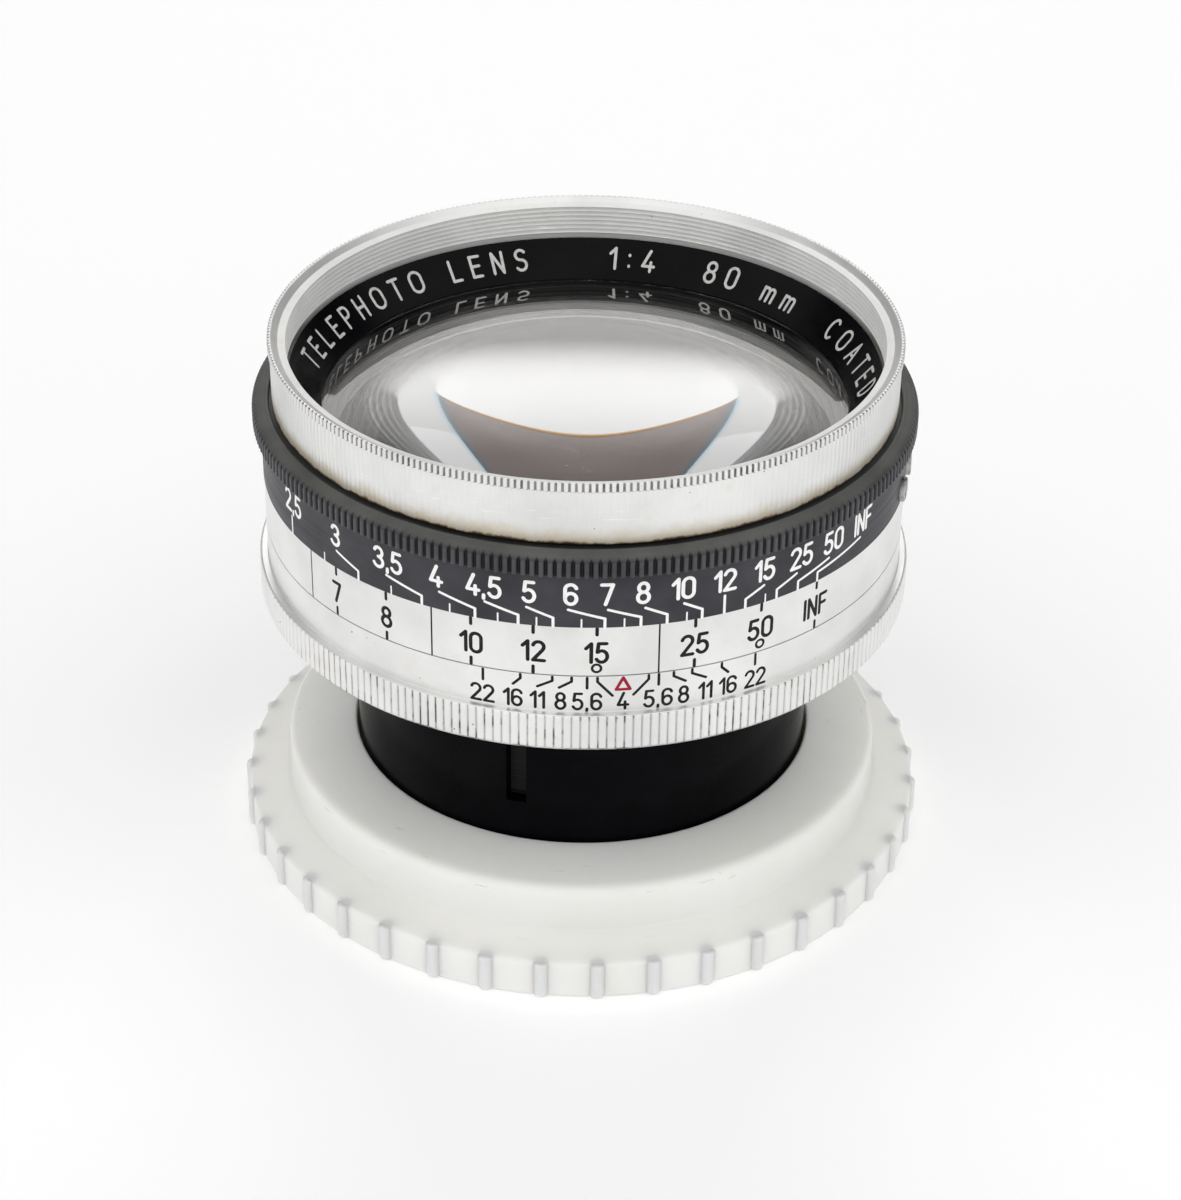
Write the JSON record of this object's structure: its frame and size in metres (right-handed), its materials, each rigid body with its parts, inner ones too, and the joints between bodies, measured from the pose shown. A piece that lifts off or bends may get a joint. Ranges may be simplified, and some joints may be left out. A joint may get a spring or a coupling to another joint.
{
  "type": "camera lens",
  "caption": "Convertible telephoto front lens with turning distance scale rings, a filter thread and a white twist-lock storage base.",
  "frame": {"origin": "centre of the storage base's underside", "axes": "+Z along the lens axis towards the front glass; -Y is the side that the scales are read from"},
  "size_m": [0.0728, 0.0728, 0.056],
  "materials": {
    "white_plastic": "moulded polythene, slightly translucent",
    "mount_steel": "turned steel",
    "black_gloss": "gloss black enamel",
    "black_anodised": "matt black anodised",
    "satin_silver": "satin silver anodised",
    "black_satin": "satin black anodised",
    "washer_brass": "rolled brass",
    "screw_nickel": "nickel plated",
    "name_black": "gloss black",
    "front_glass": "polished and coated",
    "inner_glass": "polished and coated",
    "baffle_grey": "matt grey ridges"
  },
  "bodies": {
    "lens_barrel": {"bayonet_ring": "mount_steel", "mount_screws": "mount_steel", "rear_barrel": "black_gloss", "lens_tube": "black_anodised", "depth_scale_ring": "satin_silver", "friction_washer": "washer_brass", "front_ring": "satin_silver", "name_ring": "name_black", "front_element": "front_glass", "ridged_baffle": "baffle_grey", "doublet_ring": "black_anodised", "second_element": "inner_glass", "third_element": "inner_glass", "rear_cell": "black_anodised", "fourth_element": "inner_glass", "rear_spacer": "black_anodised", "fifth_element": "inner_glass", "rear_retaining_ring": "black_anodised"},
    "turning_scale": {"scale_ring": "black_satin", "scale_band": "satin_silver", "scale_ring_screws": "screw_nickel"},
    "base": {"storage_base": "white_plastic"}
  },
  "joints": [
    {"name": "scale_turn", "type": "hinge", "parent": "lens_barrel", "child": "turning_scale", "pos_m": [0, 0, 0.042], "axis": [0, 0, 1], "continuous": true},
    {"name": "base_twist", "type": "hinge", "parent": "lens_barrel", "child": "base", "pos_m": [0, 0, 0.005], "axis": [0, 0, 1], "range_deg": [0, 60]}
  ]
}
